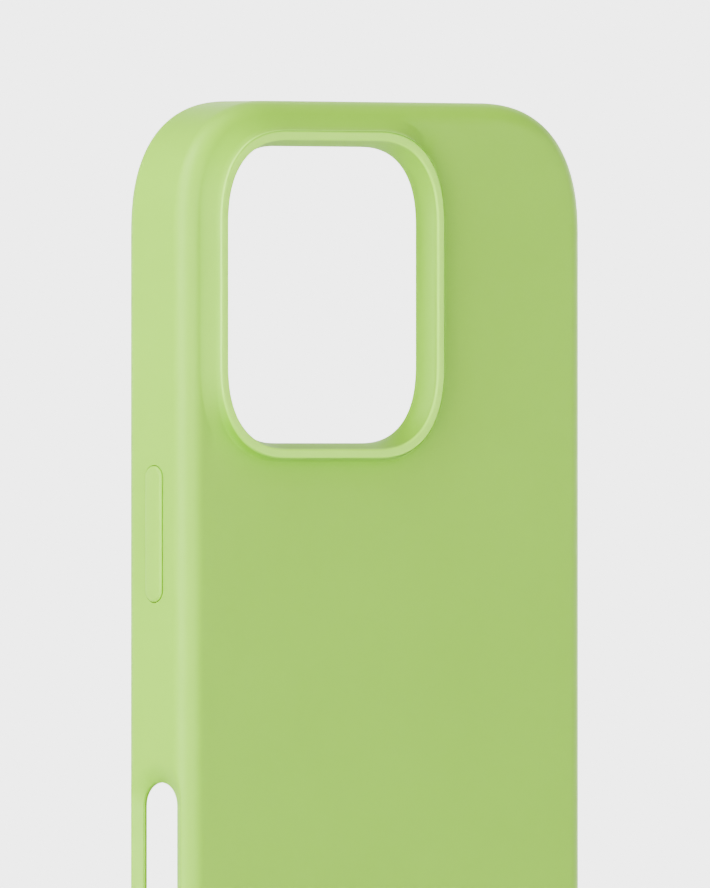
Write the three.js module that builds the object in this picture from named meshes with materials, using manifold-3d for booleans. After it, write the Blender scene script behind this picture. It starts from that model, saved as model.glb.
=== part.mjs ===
// Soft-touch silicone case for a 6.3 inch phone, as an assembly of its separate pieces.
// Units are millimetres. +Z points to the case's top edge, the outer back faces -Y, +X is to
// the right seen from the back, and the origin is at the bottom centre of the bounding box.
//
// Layers, from outside in: a silicone shell, a hard core frame, a ring of magnets set into the
// core, and a microfibre lining. Four silicone button caps, each with a hard pusher behind it,
// slide through the side walls and press the phone's own keys.

import * as THREE from "three";
import Module from "manifold-3d";
import { mergeVertices } from "three/addons/utils/BufferGeometryUtils.js";

const wasm = await Module();
wasm.setup();

// ---- Driving dimensions ---------------------------------------------------------------------

const PHONE = { width: 71.5, height: 149.6, thickness: 8.25 };
const SIDE_WALL = 1.8; // outer face to the phone's side, clearance included
const BACK_WALL = 2.25; // outer back to the phone's back, clearance included
const FRONT_LIP = 1.0; // how far the rim stands in front of the phone's glass

const WIDTH = PHONE.width + 2 * SIDE_WALL;
const HEIGHT = PHONE.height + 2 * SIDE_WALL;
const DEPTH = BACK_WALL + PHONE.thickness + FRONT_LIP;

const CORNER_REACH = 18; // how far each outer corner reaches along a straight side
const CORNER_POWER = 2.46; // 2 is a circle, more is squarer
const CORNER_STEPS = 8; // facets in each corner of an outline, an even number
const BACK_ROUND = 3.0; // rounding between the back and the sides
const RIM_ROUND = 1.5; // rounding between the sides and the front rim

// Raised collar round the camera window. Half sizes are those of the window's narrowest part.
const COLLAR = { x: -11.9, fromTop: 25.66, halfWidth: 18.8, halfHeight: 19.65, reach: 10.75 };
const COLLAR_HEIGHT = 1.65; // lip above the back
const LIP_INNER = 0.8; // growth of the window at the lip's inner edge
const LIP_OUTER = 2.05; // growth of the window at the lip's outer edge
const FILLET_WIDTH = 5.5; // where there is room for it
const FILLET_MARGIN = 1.7; // the fillet stops this far from the case's outline

// Layer faces, as depths below the outer back (floor) and insets from the outer side (wall).
const SHELL_FLOOR = 0.8;
const SHELL_WALL = 0.8;
const CORE_FLOOR = 1.8;
const CORE_WALL = 1.45;
const CORE_FRONT_GAP = 1.45; // front edge of the core, below the rim
const LINING_FLOOR = 2.2;
const LINING_WALL = 1.7;
const GLUE = 0.05; // bond line between layers
const SEAM = 0.3; // gap between the ends of the wall lining's strips
const BEAD = { inset: 2.1, drop: 0.5, shelf: 1.4 }; // rim bead that holds the phone in

const KEY_DEPTH = 6.3; // centre line of all side keys, below the outer back
const KEY_GROOVE = 0.15; // gap round each button cap
const CAP = { width: 3.1, proud: 0.35, edge: 0.25 };
const FLANGE = { grow: 1.2, thickness: 0.3, clearance: 0.4 };
const PUSHER = { width: 1.7, shorter: 4.6, length: 0.5, clearance: 0.5 };
const BUTTONS = [
  { name: "side_button", side: -1, fromTop: 57.3, length: 18.0 },
  { name: "action_button", side: 1, fromTop: 35.4, length: 9.0 },
  { name: "volume_up", side: 1, fromTop: 49.8, length: 11.6 },
  { name: "volume_down", side: 1, fromTop: 64.0, length: 11.6 },
];

// Open cut-out for the phone's touch key, in a scooped dish on the left wall.
const CONTROL = { fromTop: 101.1, length: 22.0, width: 6.1, dishDepth: 1.26, dishReach: 3.4 };
const CONTROL_PAD = { halfLength: 12.8, backDepth: 2.35, gap: 0.2 };

const PORT = { length: 12.8, width: 6.2, depth: 6.4 };
const SPEAKER = { length: 13.2, width: 2.4, depth: 6.4, offset: 18.2 };
const HOLE_STEP = 0.5; // inner layers' holes are larger than the shell's by this on each side

const MAGNETS = { count: 18, inner: 23.2, outer: 26.8, gapDegrees: 3.2, thickness: 0.5 };
const MAGNET_RECESS = { inner: 22.9, outer: 27.2, floor: 1.1 };
const MAGNET_FILM = { inner: 23.0, outer: 27.1, thickness: 0.1 };
const KEY_MAGNET = { fromCentre: 38.0, width: 5.6, height: 14.0, gap: 0.2 };

const SILICONE = { color: 0xb2ce82, roughness: 0.55, metalness: 0 };
const POLYCARBONATE = { color: 0xa3bd78, roughness: 0.4, metalness: 0 };
const MICROFIBRE = { color: 0x9fb877, roughness: 0.95, metalness: 0 };
const CAP_SILICONE = { color: 0xb9d48b, roughness: 0.55, metalness: 0 };
const PUSHER_PLASTIC = { color: 0x8da365, roughness: 0.35, metalness: 0 };
const NICKEL = { color: 0xb8b6b0, roughness: 0.3, metalness: 1 };
const PET_FILM = { color: 0xe8e6df, roughness: 0.25, metalness: 0 };

// ---- Levels worked out from them ------------------------------------------------------------

const LIP_Y = -(DEPTH + COLLAR_HEIGHT) / 2;
const BACK_Y = LIP_Y + COLLAR_HEIGHT;
const RIM_Y = BACK_Y + DEPTH;
const CORE_FRONT_Y = RIM_Y - CORE_FRONT_GAP;
const COLLAR_Z = HEIGHT - COLLAR.fromTop;
const RING_CENTRE_Z = HEIGHT / 2;

// ---- Outlines: rectangles whose corners are quarter superellipses ---------------------------

function caseOutline(inset) {
  return {
    left: -WIDTH / 2 + inset,
    right: WIDTH / 2 - inset,
    bottom: inset,
    top: HEIGHT - inset,
    reach: CORNER_REACH - inset,
  };
}

function windowOutline(grow) {
  return {
    left: COLLAR.x - COLLAR.halfWidth - grow,
    right: COLLAR.x + COLLAR.halfWidth + grow,
    bottom: COLLAR_Z - COLLAR.halfHeight - grow,
    top: COLLAR_Z + COLLAR.halfHeight + grow,
    reach: COLLAR.reach + grow,
  };
}

function mixOutlines(a, b, share) {
  const mixed = {};
  for (const side of Object.keys(a)) {
    mixed[side] = a[side] + (b[side] - a[side]) * share;
  }
  return mixed;
}

// Foot of the collar's fillet: full width where there is room, else just short of the edge.
function filletFoot() {
  const lip = windowOutline(LIP_OUTER);
  const limit = caseOutline(FILLET_MARGIN);
  return {
    left: Math.max(lip.left - FILLET_WIDTH, limit.left),
    right: lip.right + FILLET_WIDTH,
    bottom: lip.bottom - FILLET_WIDTH,
    top: Math.min(lip.top + FILLET_WIDTH, limit.top),
    reach: CORNER_REACH,
  };
}

// Points [x, z] of an outline, anticlockwise round its four corners from the top right one.
function outlinePoints(outline) {
  const corners = [
    { x: outline.right, z: outline.top, sx: 1, sz: 1, flip: false },
    { x: outline.left, z: outline.top, sx: -1, sz: 1, flip: true },
    { x: outline.left, z: outline.bottom, sx: -1, sz: -1, flip: false },
    { x: outline.right, z: outline.bottom, sx: 1, sz: -1, flip: true },
  ];
  const points = [];
  for (const corner of corners) {
    for (let i = 0; i <= CORNER_STEPS; i++) {
      const step = corner.flip ? CORNER_STEPS - i : i;
      const angle = (step / CORNER_STEPS) * (Math.PI / 2);
      const across = Math.cos(angle) ** (2 / CORNER_POWER);
      const along = Math.sin(angle) ** (2 / CORNER_POWER);
      points.push([
        corner.x - corner.sx * outline.reach * (1 - across),
        corner.z - corner.sz * outline.reach * (1 - along),
      ]);
    }
  }
  return points;
}

// How far the point lies inside the case's outline.
function insetAt(x, z) {
  const side = WIDTH / 2 - Math.abs(x);
  const end = HEIGHT / 2 - Math.abs(z - HEIGHT / 2);
  const nearest = Math.min(side, end);
  if (Math.max(side, end) >= CORNER_REACH) {
    return nearest;
  }
  let low = 0;
  let high = nearest;
  for (let i = 0; i < 40; i++) {
    const middle = (low + high) / 2;
    const reach = CORNER_REACH - middle;
    const across = Math.max(0, 1 - (side - middle) / reach);
    const along = Math.max(0, 1 - (end - middle) / reach);
    const inside = across ** CORNER_POWER + along ** CORNER_POWER < 1;
    if (inside) {
      low = middle;
    } else {
      high = middle;
    }
  }
  return low;
}

// How far the back falls away towards the sides at this inset.
function edgeDrop(inset) {
  const run = Math.max(0, BACK_ROUND - inset);
  return BACK_ROUND - Math.sqrt(BACK_ROUND ** 2 - run ** 2);
}

function ring(outline, y) {
  return outlinePoints(outline).map(([x, z]) => new THREE.Vector3(x, y, z));
}

// A ring that lies on the rounded back, raised by some height.
function backRing(outline, height) {
  return outlinePoints(outline).map(([x, z]) => {
    return new THREE.Vector3(x, BACK_Y + edgeDrop(insetAt(x, z)) - height, z);
  });
}

// ---- Lofted solids --------------------------------------------------------------------------

function signedVolume(positions, indices) {
  const a = new THREE.Vector3();
  const b = new THREE.Vector3();
  const c = new THREE.Vector3();
  let volume = 0;
  for (let i = 0; i < indices.length; i += 3) {
    a.fromArray(positions, indices[i] * 3);
    b.fromArray(positions, indices[i + 1] * 3);
    c.fromArray(positions, indices[i + 2] * 3);
    volume += a.dot(b.cross(c)) / 6;
  }
  return volume;
}

function solidFrom(points, indices) {
  const positions = points.flatMap((point) => point.toArray());
  if (signedVolume(positions, indices) < 0) {
    indices.reverse();
  }
  const geometry = new THREE.BufferGeometry();
  geometry.setAttribute("position", new THREE.Float32BufferAttribute(positions, 3));
  geometry.setIndex(indices);
  return geometry;
}

// Skin between rings of equally many points. A closed loft's last ring joins its first, which
// leaves a hole through the middle; an open one is capped with a fan at each end.
function loft(rings, closed) {
  const count = rings[0].length;
  const points = rings.flat();
  const indices = [];
  const bands = closed ? rings.length : rings.length - 1;
  for (let band = 0; band < bands; band++) {
    const near = band * count;
    const far = ((band + 1) % rings.length) * count;
    for (let i = 0; i < count; i++) {
      const next = (i + 1) % count;
      indices.push(near + i, near + next, far + i);
      indices.push(near + next, far + next, far + i);
    }
  }
  if (!closed) {
    const last = (rings.length - 1) * count;
    for (let i = 1; i < count - 1; i++) {
      indices.push(0, i + 1, i);
      indices.push(last, last + i, last + i + 1);
    }
  }
  return solidFrom(points, indices);
}

// Rounded slot in the plane of a side wall, at an inset from the outer face.
function sidePill(side, fromTop, length, width, inset) {
  const x = side * (WIDTH / 2 - inset);
  const y = BACK_Y + KEY_DEPTH;
  const z = HEIGHT - fromTop;
  return pillPoints(length, width).map(([along, across]) => {
    return new THREE.Vector3(x, y + across, z + along);
  });
}

// Rounded slot in the plane of the bottom wall.
function bottomPill(x, depth, length, width, z) {
  return pillPoints(length, width).map(([along, across]) => {
    return new THREE.Vector3(x + along, BACK_Y + depth + across, z);
  });
}

const PILL_STEPS = 6; // facets in each round end of a slot

function pillPoints(length, width) {
  const radius = width / 2;
  const points = [];
  for (const end of [1, -1]) {
    for (let i = 0; i <= PILL_STEPS; i++) {
      const angle = (i / PILL_STEPS - 0.5) * Math.PI;
      const along = end * (length / 2 - radius + radius * Math.cos(angle));
      points.push([along, end * radius * Math.sin(angle)]);
    }
  }
  return points;
}

function box(x, y, z) {
  const [x0, x1] = x;
  const [y0, y1] = y;
  const [z0, z1] = z;
  const geometry = new THREE.BoxGeometry(x1 - x0, y1 - y0, z1 - z0);
  geometry.translate((x0 + x1) / 2, (y0 + y1) / 2, (z0 + z1) / 2);
  return geometry;
}

// Flat arc, from an inner to an outer radius round the magnet ring's centre, in the XZ plane.
function arcPlate(inner, outer, from, to, y0, y1, steps) {
  const shape = new THREE.Shape();
  for (let i = 0; i <= steps; i++) {
    const angle = from + ((to - from) * i) / steps;
    const [x, z] = [outer * Math.cos(angle), outer * Math.sin(angle)];
    if (i === 0) {
      shape.moveTo(x, z);
    } else {
      shape.lineTo(x, z);
    }
  }
  for (let i = steps; i >= 0; i--) {
    const angle = from + ((to - from) * i) / steps;
    shape.lineTo(inner * Math.cos(angle), inner * Math.sin(angle));
  }
  return standingPlate(shape, y0, y1);
}

function ringPlate(inner, outer, y0, y1, steps) {
  const circle = (path, radius) => {
    for (let i = 0; i < steps; i++) {
      const angle = (i / steps) * 2 * Math.PI;
      const [x, z] = [radius * Math.cos(angle), radius * Math.sin(angle)];
      if (i === 0) {
        path.moveTo(x, z);
      } else {
        path.lineTo(x, z);
      }
    }
    path.closePath();
    return path;
  };
  const shape = circle(new THREE.Shape(), outer);
  shape.holes.push(circle(new THREE.Path(), inner));
  return standingPlate(shape, y0, y1);
}

// A shape drawn as (x, z) about the magnet ring's centre, made solid from y0 to y1.
function standingPlate(shape, y0, y1) {
  const geometry = new THREE.ExtrudeGeometry(shape, { depth: y1 - y0, bevelEnabled: false });
  geometry.rotateX(Math.PI / 2);
  geometry.translate(0, y1, RING_CENTRE_Z);
  return geometry;
}

// ---- Joining and cutting --------------------------------------------------------------------

function toManifold(geometry) {
  const bare = geometry.clone();
  bare.deleteAttribute("normal");
  bare.deleteAttribute("uv");
  const merged = mergeVertices(bare, 1e-5);
  const mesh = new wasm.Mesh({
    numProp: 3,
    vertProperties: new Float32Array(merged.attributes.position.array),
    triVerts: new Uint32Array(merged.index.array),
  });
  return new wasm.Manifold(mesh);
}

function carve(geometry, { add = [], cut = [] }) {
  let solid = toManifold(geometry);
  for (const piece of add) {
    solid = solid.add(toManifold(piece));
  }
  for (const piece of cut) {
    solid = solid.subtract(toManifold(piece));
  }
  const mesh = solid.getMesh();
  const result = new THREE.BufferGeometry();
  result.setAttribute("position", new THREE.Float32BufferAttribute(mesh.vertProperties, 3));
  result.setIndex(Array.from(mesh.triVerts));
  return result;
}

// Straight slot through a side wall between two insets.
function sideSlot(side, fromTop, length, width, fromInset, toInset) {
  const outer = sidePill(side, fromTop, length, width, fromInset);
  const inner = sidePill(side, fromTop, length, width, toInset);
  return loft([outer, inner], false);
}

// Slots through the bottom wall for the charging port and the two speaker grilles.
function bottomSlots(grow) {
  const holes = [
    { x: 0, ...PORT },
    { x: -SPEAKER.offset, ...SPEAKER },
    { x: SPEAKER.offset, ...SPEAKER },
  ];
  return holes.map(({ x, depth, length, width }) => {
    const slot = (z) => bottomPill(x, depth, length + 2 * grow, width + 2 * grow, z);
    return loft([slot(-1), slot(SIDE_WALL + 1)], false);
  });
}

// ---- Silicone shell -------------------------------------------------------------------------

function roundedRings(inset, radius, fromY, towards) {
  const rings = [];
  const steps = 4;
  for (let i = 0; i <= steps; i++) {
    const angle = (i / steps) * (Math.PI / 2);
    const ringInset = inset + radius * (1 - Math.cos(angle));
    rings.push(ring(caseOutline(ringInset), fromY + towards * radius * Math.sin(angle)));
  }
  return rings;
}

function collarFillet() {
  const lip = windowOutline(LIP_OUTER);
  const foot = filletFoot();
  const shares = [0, 0.08, 0.22, 0.45, 0.7, 1];
  return shares.map((share) => {
    const height = (COLLAR_HEIGHT - 0.12) * (1 - share) ** 2;
    return backRing(mixOutlines(lip, foot, share), height);
  });
}

// The last ring on the flat of the back, and the rounding from there to the sides.
function backEdge() {
  const onRound = caseOutline(FILLET_MARGIN - 0.3);
  const onFlat = caseOutline(BACK_ROUND);
  const flatEnd = { ...onRound, right: onFlat.right, bottom: onFlat.bottom };
  const rings = [backRing(flatEnd, 0)];
  for (const inset of [1.2, 0.6, 0.18, 0]) {
    rings.push(backRing(caseOutline(inset), 0));
  }
  return rings;
}

function siliconeShell() {
  const innerRadius = BACK_ROUND - SHELL_WALL;
  const floorY = BACK_Y + SHELL_FLOOR;
  const underCollarY = BACK_Y - 0.1;
  const coreRim = GLUE + SHELL_WALL;
  const skin = loft(
    [
      ring(windowOutline(0), BACK_Y + CORE_FLOOR),
      ring(windowOutline(0), BACK_Y + 1.0),
      ring(windowOutline(0.25), BACK_Y),
      ring(windowOutline(0.6), LIP_Y + 0.5),
      ring(windowOutline(LIP_INNER), LIP_Y + 0.1),
      ring(windowOutline(LIP_INNER + 0.15), LIP_Y),
      ring(windowOutline(LIP_OUTER - 0.15), LIP_Y),
      ...collarFillet(),
      ...backEdge(),
      ...roundedRings(0, RIM_ROUND, RIM_Y - RIM_ROUND, 1),
      ring(caseOutline(1.9), RIM_Y - 0.15),
      ring(caseOutline(BEAD.inset), RIM_Y - BEAD.drop),
      ring(caseOutline(LINING_WALL), RIM_Y - BEAD.shelf),
      ring(caseOutline(SHELL_WALL), RIM_Y - BEAD.shelf),
      ...roundedRings(SHELL_WALL, innerRadius, floorY + innerRadius, -1),
      ring(windowOutline(LIP_OUTER + 1.2), floorY),
      ring(windowOutline(LIP_OUTER + 0.4), underCollarY),
      ring(windowOutline(coreRim - GLUE), underCollarY),
      ring(windowOutline(coreRim - GLUE), BACK_Y + CORE_FLOOR),
    ],
    true,
  );
  const buttonSlots = BUTTONS.map(({ side, fromTop, length }) => {
    const gap = 2 * KEY_GROOVE;
    return sideSlot(side, fromTop, length + gap, CAP.width + gap, -1, SHELL_WALL + 0.5);
  });
  return carve(skin, {
    add: [controlPad(0)],
    cut: [...buttonSlots, controlDish(), ...bottomSlots(0)],
  });
}

// Block of silicone that fills the core's notch, so the dish can be deeper than the shell.
function controlPad(grow) {
  const z = HEIGHT - CONTROL.fromTop;
  const half = CONTROL_PAD.halfLength + grow;
  const outerInset = grow > 0 ? -1 : SHELL_WALL - 0.2;
  const innerInset = grow > 0 ? LINING_WALL + 1 : LINING_WALL;
  return box(
    [-WIDTH / 2 + outerInset, -WIDTH / 2 + innerInset],
    [BACK_Y + CONTROL_PAD.backDepth - grow, RIM_Y - BEAD.shelf + (grow > 0 ? 1 : 0.1)],
    [z - half, z + half],
  );
}

// The scooped dish and the slot through its middle.
function controlDish() {
  const { fromTop, length, width, dishDepth, dishReach } = CONTROL;
  const rings = [];
  for (const share of [1.15, 1, 0.75, 0.5, 0.25, 0]) {
    const spread = 2 * dishReach * share;
    const inset = share > 1 ? -0.5 : dishDepth * (1 - share) ** 2 - 0.02 * share;
    rings.push(sidePill(-1, fromTop, length + spread, width + spread, inset));
  }
  rings.push(sidePill(-1, fromTop, length, width, SIDE_WALL + 1));
  return loft(rings, false);
}

// ---- Hard core ------------------------------------------------------------------------------

function coreFrame() {
  const outerInset = SHELL_WALL + GLUE;
  const outerRadius = BACK_ROUND - outerInset;
  const outerY = BACK_Y + SHELL_FLOOR + GLUE;
  const innerY = BACK_Y + CORE_FLOOR;
  const collarTopY = BACK_Y - GLUE;
  const windowEdge = SHELL_WALL + GLUE;
  const tub = loft(
    [
      ring(windowOutline(windowEdge), innerY),
      ring(windowOutline(windowEdge), collarTopY),
      ring(windowOutline(LIP_OUTER + 0.25), collarTopY),
      ring(windowOutline(LIP_OUTER + 1.05), outerY),
      ...roundedRings(outerInset, outerRadius, outerY + outerRadius, -1).reverse(),
      ring(caseOutline(outerInset), CORE_FRONT_Y),
      ring(caseOutline(CORE_WALL), CORE_FRONT_Y),
      ring(caseOutline(CORE_WALL), innerY),
    ],
    true,
  );
  const flangeSlots = BUTTONS.map(({ side, fromTop, length }) => {
    const grow = FLANGE.grow + FLANGE.clearance;
    return sideSlot(side, fromTop, length + grow, CAP.width + grow, 0, LINING_WALL);
  });
  const recessFloor = BACK_Y + MAGNET_RECESS.floor;
  const openTop = innerY + 1;
  const ringRecess = ringPlate(
    MAGNET_RECESS.inner,
    MAGNET_RECESS.outer,
    recessFloor,
    openTop,
    48,
  );
  return carve(tub, {
    cut: [
      ...flangeSlots,
      controlPad(CONTROL_PAD.gap),
      ...bottomSlots(HOLE_STEP),
      ringRecess,
      keyMagnet(KEY_MAGNET.gap, recessFloor, openTop),
    ],
  });
}

// ---- Magnets, all under the lining ----------------------------------------------------------

function magnetArc(index) {
  const pitch = (2 * Math.PI) / MAGNETS.count;
  const gap = THREE.MathUtils.degToRad(MAGNETS.gapDegrees);
  const from = index * pitch + gap / 2;
  const to = (index + 1) * pitch - gap / 2;
  const y0 = BACK_Y + MAGNET_RECESS.floor + GLUE;
  return arcPlate(MAGNETS.inner, MAGNETS.outer, from, to, y0, y0 + MAGNETS.thickness, 3);
}

function magnetFilm() {
  const y1 = BACK_Y + CORE_FLOOR;
  return ringPlate(MAGNET_FILM.inner, MAGNET_FILM.outer, y1 - MAGNET_FILM.thickness, y1, 36);
}

function keyMagnet(grow, y0, y1) {
  const z = RING_CENTRE_Z - KEY_MAGNET.fromCentre;
  const halfWidth = KEY_MAGNET.width / 2 + grow;
  const halfHeight = KEY_MAGNET.height / 2 + grow;
  return box([-halfWidth, halfWidth], [y0, y1], [z - halfHeight, z + halfHeight]);
}

// ---- Microfibre lining ----------------------------------------------------------------------

function backLining() {
  const inset = LINING_WALL + GLUE;
  const windowEdge = SHELL_WALL + 0.4;
  const [y0, y1] = [BACK_Y + CORE_FLOOR + GLUE, BACK_Y + LINING_FLOOR];
  return loft(
    [
      ring(windowOutline(windowEdge), y1),
      ring(windowOutline(windowEdge), y0),
      ring(caseOutline(inset), y0),
      ring(caseOutline(inset), y1),
    ],
    true,
  );
}

// The wall lining runs round the inside of the walls, with a fine seam at the middle of each
// corner. Strips are numbered anticlockwise from the top.
function liningStrip(sideIndex) {
  const outer = outlinePoints(caseOutline(CORE_WALL + 0.03));
  const inner = outlinePoints(caseOutline(LINING_WALL));
  const perCorner = CORNER_STEPS + 1;
  const first = sideIndex * perCorner + CORNER_STEPS / 2;
  const sections = [];
  for (let i = 0; i <= perCorner; i++) {
    const at = (first + i) % outer.length;
    sections.push(liningSection(outer[at], inner[at]));
  }
  openSeam(sections[0], sections[1]);
  openSeam(sections[perCorner], sections[perCorner - 1]);
  return loft(sections, false);
}

function liningSection([outerX, outerZ], [innerX, innerZ]) {
  const [y0, y1] = [BACK_Y + LINING_FLOOR + GLUE, CORE_FRONT_Y - GLUE];
  return [
    new THREE.Vector3(outerX, y0, outerZ),
    new THREE.Vector3(outerX, y1, outerZ),
    new THREE.Vector3(innerX, y1, innerZ),
    new THREE.Vector3(innerX, y0, innerZ),
  ];
}

// Draws a strip's end section back from the seam, towards its neighbour.
function openSeam(end, neighbour) {
  const share = SEAM / 2 / end[0].distanceTo(neighbour[0]);
  end.forEach((corner, i) => corner.lerp(neighbour[i], share));
}

function pusherSlots(side) {
  const ours = BUTTONS.filter((button) => button.side === side);
  return ours.map(({ fromTop, length }) => {
    const slotLength = length - PUSHER.shorter + PUSHER.clearance;
    const slotWidth = PUSHER.width + PUSHER.clearance;
    return sideSlot(side, fromTop, slotLength, slotWidth, 1, LINING_WALL + 1);
  });
}

// The left strip stops at the silicone pad, so it is an upper and a lower piece.
function leftLining(upper) {
  const padZ = HEIGHT - CONTROL.fromTop;
  const half = CONTROL_PAD.halfLength + CONTROL_PAD.gap;
  const past = upper ? [-1, padZ + half] : [padZ - half, HEIGHT + 1];
  const away = box([-WIDTH, 0], [BACK_Y, RIM_Y], past);
  return carve(liningStrip(1), { cut: [away, ...(upper ? pusherSlots(-1) : [])] });
}

// ---- Buttons --------------------------------------------------------------------------------

// Silicone cap with a flange that is held between the shell and the lining.
function buttonCap({ side, fromTop, length }) {
  const flangeInset = SHELL_WALL + GLUE;
  const pill = (grow, inset) => {
    return sidePill(side, fromTop, length + grow, CAP.width + grow, inset);
  };
  return loft(
    [
      pill(-3 * CAP.edge, -CAP.proud),
      pill(-CAP.edge, -CAP.proud + 0.08),
      pill(0, -CAP.proud + CAP.edge),
      pill(0, flangeInset),
      pill(FLANGE.grow, flangeInset),
      pill(FLANGE.grow, flangeInset + FLANGE.thickness),
    ],
    false,
  );
}

// Hard pad bonded behind the cap, which reaches the phone's key through the lining.
function buttonPusher({ side, fromTop, length }) {
  const start = SHELL_WALL + GLUE + FLANGE.thickness;
  const pusherLength = length - PUSHER.shorter;
  return sideSlot(side, fromTop, pusherLength, PUSHER.width, start, start + PUSHER.length);
}

// ---- Assembly -------------------------------------------------------------------------------

const phoneCase = new THREE.Group();

function place(name, geometry, finish) {
  const mesh = new THREE.Mesh(geometry, new THREE.MeshStandardMaterial(finish));
  mesh.name = name;
  phoneCase.add(mesh);
}

place("silicone_shell", siliconeShell(), SILICONE);
place("core_frame", coreFrame(), POLYCARBONATE);
place("back_lining", backLining(), MICROFIBRE);
place("top_lining", liningStrip(0), MICROFIBRE);
place("left_lining_upper", leftLining(true), MICROFIBRE);
place("left_lining_lower", leftLining(false), MICROFIBRE);
place("bottom_lining", carve(liningStrip(2), { cut: bottomSlots(HOLE_STEP) }), MICROFIBRE);
place("right_lining", carve(liningStrip(3), { cut: pusherSlots(1) }), MICROFIBRE);
for (const button of BUTTONS) {
  place(`${button.name}_cap`, buttonCap(button), CAP_SILICONE);
  place(`${button.name}_pusher`, buttonPusher(button), PUSHER_PLASTIC);
}
place("magnet_film", magnetFilm(), PET_FILM);
for (let index = 0; index < MAGNETS.count; index++) {
  place(`ring_magnet_${String(index + 1).padStart(2, "0")}`, magnetArc(index), NICKEL);
}
const keyMagnetY = BACK_Y + MAGNET_RECESS.floor + GLUE;
place("key_magnet", keyMagnet(0, keyMagnetY, keyMagnetY + MAGNETS.thickness), NICKEL);

export default phoneCase;
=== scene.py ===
"""Soft-touch silicone phone case: the looks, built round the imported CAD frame.

Shapes are worked out in millimetres in the frame's own axes: +Z to the top edge, -Y out of the
outer back, +X to the right seen from the back. They become metres when a mesh is made.
"""
import math

import bpy
import numpy as np
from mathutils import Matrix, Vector


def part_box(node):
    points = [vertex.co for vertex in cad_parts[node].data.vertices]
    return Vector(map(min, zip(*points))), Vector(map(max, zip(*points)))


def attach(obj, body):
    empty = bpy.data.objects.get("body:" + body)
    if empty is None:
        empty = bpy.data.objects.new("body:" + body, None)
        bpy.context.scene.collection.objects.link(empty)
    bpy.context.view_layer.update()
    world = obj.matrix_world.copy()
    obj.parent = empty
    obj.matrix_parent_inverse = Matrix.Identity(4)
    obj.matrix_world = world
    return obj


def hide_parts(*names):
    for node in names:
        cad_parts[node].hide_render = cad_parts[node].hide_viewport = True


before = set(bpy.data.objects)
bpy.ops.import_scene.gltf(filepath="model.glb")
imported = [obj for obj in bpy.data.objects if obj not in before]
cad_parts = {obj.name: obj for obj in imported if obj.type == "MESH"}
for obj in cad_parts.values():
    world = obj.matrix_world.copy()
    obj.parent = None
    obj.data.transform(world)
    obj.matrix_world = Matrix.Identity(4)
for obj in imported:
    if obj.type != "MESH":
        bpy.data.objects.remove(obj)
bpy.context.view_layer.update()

MM = 0.001


def node_box(name):
    """Lowest and highest corners of a CAD node, in millimetres."""
    low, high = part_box(name)
    return np.array(low) / MM, np.array(high) / MM


# ---- Driving dimensions, from the frame and in millimetres ------------------------------------

SHELL_LOW, SHELL_HIGH = node_box("silicone_shell")
HALF_WIDTH = float(SHELL_HIGH[0])
HEIGHT = float(SHELL_HIGH[2])
LIP_Y = float(SHELL_LOW[1])
RIM_Y = float(SHELL_HIGH[1])
COLLAR_HEIGHT = 1.65
BACK_Y = LIP_Y + COLLAR_HEIGHT

CORNER_REACH = 18.0
CORNER_POWER = 2.46
BACK_ROUND = 3.0
RIM_ROUND = 1.5

COLLAR_X = -11.9
COLLAR_Z = HEIGHT - 25.66
WINDOW_HALF = (18.8, 19.65)
WINDOW_REACH = 10.75
FLARE_GROW = 0.7
LIP_OUTER = 2.05
LIP_ROUND = 0.4
LIP_EDGE = 0.3
LIP_STEP = 0.15
FILLET_WIDTH = 5.8
FILLET_POWER = 2.2
FILLET_RUNOUT = 0.6
STRAIGHT_HEIGHT = 1.0

SHELL_FLOOR = 0.8
SHELL_WALL = 0.8
CORE_FLOOR = 1.8
CORE_WALL = 1.45
CORE_FRONT_GAP = 1.45
LINING_FLOOR = 2.2
LINING_WALL = 1.7
GLUE = 0.05
BEAD_INSET = 2.1
BEAD_DROP = 0.5
BEAD_SHELF = 1.4
UNDER_COLLAR = 0.1
RISER_FOOT = 1.2
RISER_TOP = 0.4
RISER_GAP = 0.15

KEY_Y = BACK_Y + 6.3
KEY_GROOVE = 0.06
CAP_WIDTH = 3.1
CAP_PROUD = 0.35
CAP_EDGE_WIDTH = 0.55
CAP_EDGE_DEPTH = 0.3
CAP_CROWN = 0.05
CAP_CENTRE = 0.02
FLANGE_ROUND = 0.05
FLANGE_GROW = 1.2
FLANGE_THICKNESS = 0.3
FLANGE_CLEARANCE = 0.4
PUSHER_WIDTH = 1.7
PUSHER_SHORTER = 4.6
PUSHER_CLEARANCE = 0.5
PUSHER_ROUND = 0.1
BUTTONS = ("side_button", "action_button", "volume_up", "volume_down")

SLOT_LENGTH = 22.0
SLOT_WIDTH = 6.1
SLOT_Z = HEIGHT - 101.1
DISH_DEPTH = 1.26
DISH_REACH = 3.4
DISH_BLEND = 0.12
DISH_SPREAD = 1.3
DISH_WALL = 4.0
PAD_HALF_LENGTH = 12.8
PAD_STEP = 0.4
PAD_PROUD = 0.02
PAD_END_ANGLE = math.radians(18)
PAD_CLEARANCE = 0.2

PORT = (0.0, 12.8, 6.2)
SPEAKERS = ((-18.2, 13.2, 2.4), (18.2, 13.2, 2.4))
PORT_Y = BACK_Y + 6.4
HOLE_STEP = 0.5
RECESS_FLOOR = 1.1
RECESS_RADII = (22.9, 27.2)
KEY_MAGNET_CLEARANCE = 0.2
NOTCH_START = 2.15
NOTCH_DEPTH = 2.7
BEYOND = 200.0
WINDOW_SEAM = 0.4
STRIP_GAP = 0.03
NAP_ROUND = 0.12
SEAM_SHARE = 0.2

# ---- Outlines: [left, right, bottom, top, corner reach] ---------------------------------------

CORNER_ANGLES = np.linspace(0.0, math.pi / 2, 37)


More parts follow.
